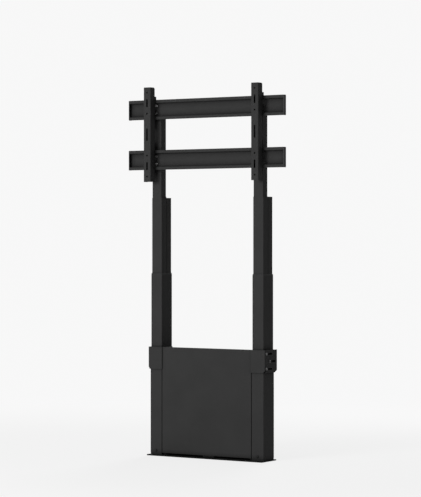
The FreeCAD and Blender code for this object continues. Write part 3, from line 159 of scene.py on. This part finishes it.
class Finish:
    """A material whose pattern follows the object's own coordinates, in metres."""

    def __init__(self, name, metallic=0.0, specular=0.5):
        self.material = bpy.data.materials.new(name)
        self.material.use_nodes = True
        self.tree = self.material.node_tree
        self.shader = self.tree.nodes["Principled BSDF"]
        self.shader.inputs["Metallic"].default_value = metallic
        self.shader.inputs["Specular IOR Level"].default_value = specular
        self.place = self.add("ShaderNodeTexCoord").outputs["Object"]

    def add(self, kind, **inputs):
        """A new node, with values for the inputs that are named."""
        node = self.tree.nodes.new(kind)
        for name, value in inputs.items():
            node.inputs[name.replace("_", " ")].default_value = value
        return node

    def join(self, source, target):
        self.tree.links.new(source, target)

    def grain(self, size, detail=2.0, stretch=(1, 1, 1)):
        """Noise whose blotches are about this size, drawn out by stretch."""
        mapping = self.add("ShaderNodeMapping", Scale=[1 / share for share in stretch])
        self.join(self.place, mapping.inputs["Vector"])
        noise = self.add("ShaderNodeTexNoise", Scale=1 / size, Detail=detail)
        self.join(mapping.outputs["Vector"], noise.inputs["Vector"])
        return noise.outputs["Fac"]

    def cells(self, size):
        """A pattern of cells about this size."""
        pattern = self.add("ShaderNodeTexVoronoi", Scale=1 / size)
        self.join(self.place, pattern.inputs["Vector"])
        return pattern

    def spread(self, value, low, high, start=NOISE_LOW, end=NOISE_HIGH):
        """A pattern's value carried over, so that start gives low and end gives high."""
        node = self.add("ShaderNodeMapRange", From_Min=start, From_Max=end, To_Min=low, To_Max=high)
        self.join(value, node.inputs["Value"])
        return node.outputs["Result"]

    def tones(self, value, dark, light, start=NOISE_LOW, end=NOISE_HIGH):
        """A colour between two tones that follows a pattern."""
        ramp = self.add("ShaderNodeValToRGB")
        ramp.color_ramp.elements[0].position = start
        ramp.color_ramp.elements[0].color = (*dark, 1)
        ramp.color_ramp.elements[1].position = end
        ramp.color_ramp.elements[1].color = (*light, 1)
        self.join(value, ramp.inputs["Fac"])
        return ramp.outputs["Color"]

    def blend(self, first, second, share):
        """Two patterns added, the second at a share of its strength."""
        node = self.add("ShaderNodeMath")
        node.operation = "MULTIPLY_ADD"
        self.join(second, node.inputs[0])
        node.inputs[1].default_value = share
        self.join(first, node.inputs[2])
        return node.outputs[0]

    def painted_shade(self, colour):
        """Painted shade: the colour darkened by ambient occlusion where another surface stands
        close by.
        """
        shelter = self.add("ShaderNodeAmbientOcclusion", Distance=PAINTED_SHADE_REACH)
        shelter.samples = PAINTED_SHADE_SAMPLES
        shade = self.spread(shelter.outputs["AO"], PAINTED_SHADE_LEAST, 1.0, start=PAINTED_SHADE_START, end=1.0)
        darkened = self.add("ShaderNodeVectorMath")
        darkened.operation = "SCALE"
        self.join(colour, darkened.inputs["Vector"])
        self.join(shade, darkened.inputs["Scale"])
        return darkened.outputs["Vector"]

    def colour(self, value):
        self.join(value, self.shader.inputs["Base Color"])

    def roughness(self, value):
        self.join(value, self.shader.inputs["Roughness"])

    def relief(self, value, height, edge=EDGE):
        """Bump of this height, over edges that catch the light as small radii do."""
        corner = self.add("ShaderNodeBevel", Radius=edge)
        corner.samples = EDGE_SAMPLES
        bump = self.add("ShaderNodeBump", Distance=height, Strength=1.0)
        self.join(corner.outputs["Normal"], bump.inputs["Normal"])
        self.join(value, bump.inputs["Height"])
        self.join(bump.outputs["Normal"], self.shader.inputs["Normal"])


def tinted(colour, factor):
    """The colour made darker or lighter by a factor."""
    return tuple(channel * factor for channel in colour)


def powder_coat(name, grey):
    """Matt powder coat with a fine sandy skin, and painted shade in its corners."""
    finish = Finish(name, specular=0.04)
    skin = finish.grain(0.9 * MM, detail=3)
    clouds = finish.grain(140 * MM)
    mixed = finish.blend(clouds, skin, share=0.55)
    dark, light = tinted(grey, COAT_DARK), tinted(grey, COAT_LIGHT)
    # The coat's tones, with painted shade where other surfaces stand close
    finish.colour(finish.painted_shade(finish.tones(mixed, dark, light, start=0.6, end=0.95)))
    finish.roughness(finish.spread(clouds, low=0.56, high=0.68))
    finish.relief(skin, height=0.05 * MM)
    return finish.material


def black_plastic():
    """Black moulded acetal of the liners and shoes, polished in streaks as it slides."""
    finish = Finish("black_plastic", specular=0.2)
    tone = finish.grain(30 * MM)
    streaks = finish.grain(12 * MM, detail=3, stretch=(1, 1, 6))
    skin = finish.grain(0.35 * MM, detail=4)
    finish.colour(finish.tones(tone, dark=(0.008, 0.008, 0.0085), light=(0.014, 0.014, 0.015)))
    finish.roughness(finish.spread(streaks, low=0.44, high=0.58))
    finish.relief(skin, height=0.015 * MM, edge=0.5 * MM)
    return finish.material


def box_plastic():
    """Textured black housing plastic."""
    finish = Finish("box_plastic", specular=0.4)
    tone = finish.grain(60 * MM)
    skin = finish.cells(0.8 * MM).outputs["Distance"]
    finish.colour(finish.tones(tone, dark=(0.016, 0.016, 0.017), light=(0.023, 0.023, 0.024)))
    finish.roughness(finish.spread(skin, low=0.48, high=0.62, start=0.0, end=0.6))
    finish.relief(skin, height=0.03 * MM, edge=0.8 * MM)
    return finish.material


def dark_screws():
    """Blackened steel with a light film of oil."""
    finish = Finish("dark_screws", metallic=0.85)
    stain = finish.grain(4 * MM, detail=4)
    film = finish.grain(1.5 * MM, detail=3)
    skin = finish.grain(0.4 * MM)
    finish.colour(finish.tones(stain, dark=(0.09, 0.089, 0.09), light=(0.14, 0.138, 0.14)))
    finish.roughness(finish.spread(film, low=0.3, high=0.48))
    finish.relief(skin, height=0.01 * MM, edge=0.4 * MM)
    return finish.material


def zinc_steel():
    """Galvanised sheet: soft crystal patches and rolling marks."""
    finish = Finish("zinc_steel", metallic=1.0)
    crystals = finish.add("ShaderNodeRGBToBW")
    finish.join(finish.cells(9 * MM).outputs["Color"], crystals.inputs["Color"])
    rolled = finish.grain(1.2 * MM, detail=3, stretch=(60, 1, 1))
    mixed = finish.blend(crystals.outputs["Val"], rolled, share=0.5)
    dark, light = (0.36, 0.37, 0.39), (0.55, 0.56, 0.58)
    finish.colour(finish.tones(mixed, dark, light, start=0.35, end=1.0))
    finish.roughness(finish.spread(mixed, low=0.34, high=0.5, start=0.3, end=1.1))
    finish.relief(rolled, height=0.01 * MM, edge=0.5 * MM)
    return finish.material


def ground_steel():
    """Ground shafts and screws, with fine turning marks round them."""
    finish = Finish("ground_steel", metallic=1.0)
    tone = finish.grain(25 * MM, detail=3)
    marks = finish.grain(0.6 * MM, detail=4, stretch=(12, 12, 1))
    finish.colour(finish.tones(tone, dark=(0.44, 0.44, 0.45), light=(0.58, 0.58, 0.59)))
    finish.roughness(finish.spread(marks, low=0.2, high=0.34))
    finish.relief(marks, height=0.01 * MM, edge=0.4 * MM)
    return finish.material


def cast_aluminium():
    """Sand-cast skin, dull and slightly pitted."""
    finish = Finish("cast_aluminium", metallic=0.9)
    tone = finish.grain(20 * MM, detail=3)
    pits = finish.grain(1.1 * MM, detail=5)
    finish.colour(finish.tones(tone, dark=(0.33, 0.335, 0.34), light=(0.47, 0.475, 0.48)))
    finish.roughness(finish.spread(pits, low=0.48, high=0.66))
    finish.relief(pits, height=0.08 * MM, edge=1.0 * MM)
    return finish.material


def bronze():
    """Turned bronze of the nuts and bearings, a little oxidised."""
    finish = Finish("bronze", metallic=1.0)
    bloom = finish.grain(6 * MM, detail=4)
    marks = finish.grain(0.5 * MM, detail=3, stretch=(14, 14, 1))
    finish.colour(finish.tones(bloom, dark=(0.32, 0.17, 0.06), light=(0.56, 0.34, 0.13)))
    finish.roughness(finish.spread(marks, low=0.28, high=0.46))
    finish.relief(marks, height=0.015 * MM, edge=0.5 * MM)
    return finish.material


def motor_paint():
    """Black enamel on the motor and its gear case, with painted shade in their corners."""
    finish = Finish("motor_paint", specular=0.25)
    tone = finish.grain(50 * MM)
    smears = finish.grain(15 * MM, detail=3)
    peel = finish.grain(1.6 * MM)
    enamel = finish.tones(tone, dark=(0.01, 0.01, 0.0105), light=(0.017, 0.017, 0.018))
    # The enamel's tones, with painted shade where other surfaces stand close
    finish.colour(finish.painted_shade(enamel))
    finish.roughness(finish.spread(smears, low=0.28, high=0.44))
    finish.relief(peel, height=0.03 * MM, edge=1.2 * MM)
    return finish.material


FINISHES = {
    "powder_coat": powder_coat("powder_coat", GREY_COAT),
    "black_plastic": black_plastic(),
    "box_plastic": box_plastic(),
    "dark_screws": dark_screws(),
    "zinc_steel": zinc_steel(),
    "ground_steel": ground_steel(),
    "cast_aluminium": cast_aluminium(),
    "bronze": bronze(),
    "motor_paint": motor_paint(),
}

for subpart in frame["record"]["subparts"]:
    solid = frame["nodes"][subpart["node"]]
    solid.data.materials.clear()
    solid.data.materials.append(FINISHES[subpart["material_slot"]])

# Base plate in a black coat, darker than the columns', as painted shade along the lift's foot
foot_plate = frame["nodes"]["base_plate"]
foot_plate.data.materials.clear()
foot_plate.data.materials.append(powder_coat("plate_shade_coat", PLATE_SHADE_COAT))


# Screws, welds and pins

def only(thing):
    """Selects one object alone and makes it the active one."""
    bpy.ops.object.select_all(action="DESELECT")
    thing.select_set(True)
    bpy.context.view_layer.objects.active = thing


def fix(thing):
    """Puts a piece's place, turn and size into its mesh."""
    only(thing)
    bpy.ops.object.transform_apply(location=True, rotation=True, scale=True)


def pick(thing, kind, test):
    """Selects the faces or edges of a mesh in edit mode that pass a test."""
    mesh = bmesh.from_edit_mesh(thing.data)
    for part in (mesh.faces, mesh.edges, mesh.verts):
        for item in part:
            item.select = False
    bpy.context.tool_settings.mesh_select_mode = (False, kind == "edges", kind == "faces")
    for item in getattr(mesh, kind):
        if test(item):
            item.select_set(True)
    bmesh.update_edit_mesh(thing.data)


def cylinder(radius, low, high, sides=SCREW_SIDES):
    """A round or six-sided bar on the z axis, between two heights."""
    bpy.ops.object.select_all(action="DESELECT")
    bpy.ops.mesh.primitive_cylinder_add(
        vertices=sides, radius=radius, depth=high - low, location=(0, 0, (low + high) / 2)
    )
    made = bpy.context.object
    fix(made)
    return made


def cut(thing, tool):
    """Cuts the tool's shape out of a piece, removes the tool and leaves the piece selected."""
    only(thing)
    boolean = thing.modifiers.new("cut", "BOOLEAN")
    boolean.operation = "DIFFERENCE"
    boolean.solver = "EXACT"
    boolean.object = tool
    bpy.ops.object.modifier_apply(modifier="cut")
    bpy.data.objects.remove(tool)


def together(name, things):
    """Joins pieces into one named object, which is left selected."""
    bpy.ops.object.select_all(action="DESELECT")
    for thing in things:
        thing.select_set(True)
    bpy.context.view_layer.objects.active = things[0]
    bpy.ops.object.join()
    joined = bpy.context.object
    joined.name = name
    return joined


def domed_head(long):
    """A domed head at its washer's top, with a hexagon socket, and the shank below it."""
    head = cylinder(SCREW_HEAD, WASHER_THICK, SCREW_HEAD_HIGH)
    bpy.ops.object.mode_set(mode="EDIT")
    pick(head, "edges", lambda edge: all(v.co.z > SCREW_HEAD_HIGH - HAIR for v in edge.verts))
    bpy.ops.mesh.bevel(offset=SCREW_DOME, segments=SCREW_DOME_STEPS, affect="EDGES")
    pick(head, "faces", lambda face: face.normal.z < -FACING)
    bpy.ops.mesh.inset(thickness=SCREW_HEAD - SCREW_SHANK)
    bpy.ops.mesh.extrude_region_move(TRANSFORM_OT_translate={"value": (0, 0, -long - WASHER_THICK)})
    bpy.ops.transform.resize(value=(SCREW_POINT, SCREW_POINT, 1))
    bpy.ops.object.mode_set(mode="OBJECT")
    socket_low, socket_high = SCREW_HEAD_HIGH - SCREW_SOCKET_DEEP, SCREW_HEAD_HIGH + CUTTER_SPARE
    cut(head, cylinder(SCREW_SOCKET, socket_low, socket_high, SCREW_SOCKET_SIDES))
    return head


def flat_washer():
    """Washer on z = 0, with the outer edge of its top eased."""
    ring = cylinder(WASHER, 0, WASHER_THICK)
    cut(ring, cylinder(WASHER_HOLE, -CUTTER_SPARE, WASHER_THICK + CUTTER_SPARE))
    bpy.ops.object.mode_set(mode="EDIT")
    pick(ring, "edges", lambda edge: all(v.co.to_2d().length > WASHER - HAIR and v.co.z > HAIR
                                         for v in edge.verts))
    bpy.ops.mesh.bevel(offset=WASHER_EDGE, segments=WASHER_EDGE_STEPS, affect="EDGES")
    bpy.ops.object.mode_set(mode="OBJECT")
    return ring


def socket_screw(long):
    """One screw with its washer, upright on z = 0."""
    made = together("screw", [domed_head(long), flat_washer()])
    bpy.ops.object.shade_smooth_by_angle(angle=SCREW_SMOOTH)
    return made


def screw_set(name, node, body, spots, long, finish="dark_screws"):
    """Copies of one screw on (place, outward direction) spots, in place of a node."""
    first = socket_screw(long)
    copies = []
    for place, outward in spots:
        copy = first.copy()
        copy.data = first.data.copy()
        bpy.context.scene.collection.objects.link(copy)
        turned = Vector(outward).to_track_quat("Z", "Y").to_matrix().to_4x4()
        copy.data.transform(Matrix.Translation(place) @ turned)
        copies.append(copy)
    bpy.data.objects.remove(first)
    made = together(name, copies)
    made.data.materials.append(FINISHES[finish])
    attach(made, body)
    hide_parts(node)


def mirrored(spots):
    """The same places on the left and on the right."""
    both = []
    for (x, y, z), (along, behind, up) in spots:
        for side in (-1, 1):
            both.append((Vector((side * x, y, z)), (side * along, behind, up)))
    return both


def column_middle():
    """The middle of the right outer tube."""
    low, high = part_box("right_outer_tube")
    return (low + high) / 2


def clamp_screws():
    """Three screws in each clamp's cheek, and two in the rail's flanges behind it."""
    tube_low, tube_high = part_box("right_outer_tube")
    clamp_low, clamp_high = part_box("right_wall_clamp")
    middle = (clamp_low.z + clamp_high.z) / 2
    near, far = tube_low.y + CLAMP_SCREW_FRONT, tube_low.y + CLAMP_SCREW_MIDDLE
    rows = ((near, middle + CLAMP_SCREW_PITCH), (far, middle), (near, middle - CLAMP_SCREW_PITCH))
    spots = [((clamp_high.x, y, z), (1, 0, 0)) for y, z in rows]
    low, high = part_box("wall_rail")
    across, behind = high.x - RAIL_SCREW_INSET, high.y - RAIL_SCREW_FRONT
    spots += [((across, behind, high.z), (0, 0, 1)), ((across, behind, low.z), (0, 0, -1))]
    screw_set("clamp_screw_heads", "clamp_screws", "base", mirrored(spots), CLAMP_SCREW_LONG)


def column_foot_screws():
    """One screw through the front and one through the back of each foot, coated with it."""
    tube_low, tube_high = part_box("right_outer_tube")
    across, up = column_middle().x, tube_low.z + FOOT_SCREW_UP
    spots = [((across, tube_low.y, up), (0, -1, 0)), ((across, tube_high.y, up), (0, 1, 0))]
    name = "column_foot_screw_heads"
    screw_set(name, "tube_screws", "base", mirrored(spots), FOOT_SCREW_LONG, "powder_coat")


def crossbar_screws():
    """Two screws through each crossbar's web into each upright."""
    spots = []
    for bar in ("lower_crossbar", "upper_crossbar"):
        low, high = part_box(bar)
        web_front = high.y - BAR_SHEET
        middle = (low.z + high.z) / 2
        for up in (-BAR_SCREW_UP, BAR_SCREW_UP):
            spots.append(((column_middle().x, web_front, middle + up), (0, -1, 0)))
    name = "crossbar_screw_heads"
    screw_set(name, "crossbar_screws", "carriage", mirrored(spots), BAR_SCREW_LONG)


def weld_bead(start, end):
    """A row of overlapping ripples from one point to another."""
    run = Vector(end) - Vector(start)
    bpy.ops.object.select_all(action="DESELECT")
    bpy.ops.mesh.primitive_ico_sphere_add(subdivisions=2, radius=WELD, location=(0, 0, 0))
    bead = bpy.context.object
    bpy.ops.object.mode_set(mode="EDIT")
    bpy.ops.mesh.select_all(action="SELECT")
    bpy.ops.transform.resize(value=(1, 1, WELD_RIPPLE))
    bpy.ops.object.mode_set(mode="OBJECT")
    ripples = bead.modifiers.new("ripples", "ARRAY")
    ripples.count = int(run.length / WELD_STEP)
    ripples.use_relative_offset = False
    ripples.use_constant_offset = True
    ripples.constant_offset_displace = (0, 0, run.length / ripples.count)
    bpy.ops.object.modifier_apply(modifier="ripples")
    turned = run.to_track_quat("Z", "Y").to_matrix().to_4x4()
    bead.data.transform(Matrix.Translation(start) @ turned)
    bpy.ops.object.shade_smooth()
    return bead


def upright_welds():
    """Beads behind each upright's foot and along its gusset."""
    low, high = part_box("right_upright")
    foot, post_back = low.z + UPRIGHT_FOOT, low.y + POST_DEEP
    gusset_end = high.y - GUSSET_LOW
    outer = (high.x - low.x) / 2 - WELD
    for side, hand in (("left", -1), ("right", 1)):
        middle = hand * column_middle().x
        beads = []
        for end in (-1, 1):
            inner_x, outer_x = middle + end * GUSSET_CLEAR, middle + end * outer
            rib_x = middle + end * GUSSET_HALF
            beads.append(weld_bead((inner_x, post_back, foot), (outer_x, post_back, foot)))
            beads.append(weld_bead((rib_x, post_back + WELD, foot), (rib_x, gusset_end, foot)))
            beads.append(weld_bead((rib_x, post_back, foot + WELD),
                                   (rib_x, post_back, foot + GUSSET_WELD_LONG)))
        made = together(side + "_upright_welds", beads)
        made.data.materials.append(FINISHES["powder_coat"])
        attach(made, "carriage")


def inlet_pins():
    """Three flat pins in the mains inlet, standing on its floor."""
    low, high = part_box("mains_inlet")
    centre = (low + high) / 2
    middle_y = high.y - SOCKET_DEEP + PIN_LONG / 2
    pins = []
    for across, up in ((-PIN_APART, -PIN_OFFSET), (PIN_APART, -PIN_OFFSET), (0, PIN_OFFSET)):
        bpy.ops.object.select_all(action="DESELECT")
        spot = (centre.x + across, middle_y, centre.z + up)
        bpy.ops.mesh.primitive_cube_add(size=1, location=spot)
        pin = bpy.context.object
        pin.scale = (PIN_THICK, PIN_LONG, PIN_WIDE)
        fix(pin)
        bpy.ops.object.mode_set(mode="EDIT")
        pick(pin, "faces", lambda face: face.normal.y > FACING)
        bpy.ops.mesh.inset(thickness=PIN_TIP_INSET)
        bpy.ops.transform.translate(value=(0, PIN_TIP_LONG, 0))
        bpy.ops.object.mode_set(mode="OBJECT")
        pins.append(pin)
    made = together("inlet_pins", pins)
    made.data.materials.append(FINISHES["zinc_steel"])
    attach(made, "base")


clamp_screws()
column_foot_screws()
crossbar_screws()
upright_welds()
inlet_pins()


# Floor, room, light and camera

def floor():
    """A pale floor that keeps the lift's shadow and fades into the room far out."""
    bpy.ops.mesh.primitive_plane_add(size=FLOOR_SIZE, location=(0, 0, 0))
    plane = bpy.context.object
    plane.name = "floor"
    material = bpy.data.materials.new("floor")
    material.use_nodes = True
    tree = material.node_tree
    shader = tree.nodes["Principled BSDF"]
    shader.inputs["Base Color"].default_value = FLOOR_COLOUR
    shader.inputs["Roughness"].default_value = FLOOR_ROUGHNESS
    shader.inputs["Specular IOR Level"].default_value = FLOOR_SPECULAR
    place = tree.nodes.new("ShaderNodeTexCoord")
    distance = tree.nodes.new("ShaderNodeVectorMath")
    distance.operation = "LENGTH"
    fade = tree.nodes.new("ShaderNodeMapRange")
    fade.interpolation_type = "SMOOTHSTEP"
    fade.inputs["From Min"].default_value = FLOOR_NEAR
    fade.inputs["From Max"].default_value = FLOOR_FAR
    fade.inputs["To Min"].default_value = FLOOR_GLOW
    seen = tree.nodes.new("ShaderNodeLightPath")
    share = tree.nodes.new("ShaderNodeMath")
    share.operation = "MULTIPLY"
    glow = tree.nodes.new("ShaderNodeEmission")
    glow.inputs["Color"].default_value = BACKGROUND
    mix = tree.nodes.new("ShaderNodeMixShader")
    tree.links.new(place.outputs["Object"], distance.inputs[0])
    tree.links.new(distance.outputs["Value"], fade.inputs["Value"])
    tree.links.new(fade.outputs["Result"], share.inputs[0])
    tree.links.new(seen.outputs["Is Camera Ray"], share.inputs[1])
    tree.links.new(share.outputs["Value"], mix.inputs["Fac"])
    tree.links.new(shader.outputs["BSDF"], mix.inputs[1])
    tree.links.new(glow.outputs["Emission"], mix.inputs[2])
    tree.links.new(mix.outputs["Shader"], tree.nodes["Material Output"].inputs["Surface"])
    plane.data.materials.append(material)


def room():
    """An even pale room: soft light on the lift, and a near-white background."""
    world = bpy.data.worlds.new("room")
    bpy.context.scene.world = world
    world.use_nodes = True
    tree = world.node_tree
    light = tree.nodes["Background"]
    light.inputs["Color"].default_value = ROOM_COLOUR
    light.inputs["Strength"].default_value = ROOM_LEVEL
    backdrop = tree.nodes.new("ShaderNodeBackground")
    backdrop.inputs["Color"].default_value = BACKGROUND
    path = tree.nodes.new("ShaderNodeLightPath")
    seen = tree.nodes.new("ShaderNodeMath")
    seen.operation = "MAXIMUM"
    reflected = tree.nodes.new("ShaderNodeMath")
    reflected.operation = "MAXIMUM"
    mix = tree.nodes.new("ShaderNodeMixShader")
    tree.links.new(path.outputs["Is Camera Ray"], seen.inputs[0])
    tree.links.new(path.outputs["Is Glossy Ray"], reflected.inputs[0])
    tree.links.new(path.outputs["Is Transmission Ray"], reflected.inputs[1])
    tree.links.new(reflected.outputs["Value"], seen.inputs[1])
    tree.links.new(seen.outputs["Value"], mix.inputs["Fac"])
    tree.links.new(light.outputs["Background"], mix.inputs[1])
    tree.links.new(backdrop.outputs["Background"], mix.inputs[2])
    tree.links.new(mix.outputs["Shader"], tree.nodes["World Output"].inputs["Surface"])


def lamp(name, place, power):
    """A round soft lamp aimed at the lift."""
    bpy.ops.object.light_add(type="AREA", location=place)
    made = bpy.context.object
    made.name = name
    made.data.shape = "DISK"
    made.data.size = LAMP_SIZE
    made.data.energy = power
    made.rotation_euler = (LAMP_AIM - place).to_track_quat("-Z", "Y").to_euler()


def camera():
    """The level camera, turned towards the lift."""
    bpy.ops.object.camera_add(location=VIEW_PLACE, rotation=(math.pi / 2, 0, VIEW_TURN))
    view = bpy.context.object
    view.name = "camera"
    view.data.lens = VIEW_LENS
    view.data.shift_x = VIEW_SHIFT_SIDE
    view.data.shift_y = VIEW_SHIFT_UP
    bpy.context.scene.camera = view


floor()
room()
lamp("key_lamp", KEY_PLACE, KEY_POWER)
lamp("back_lamp", BACK_PLACE, BACK_POWER)
camera()
bpy.context.scene.view_settings.view_transform = "Standard"
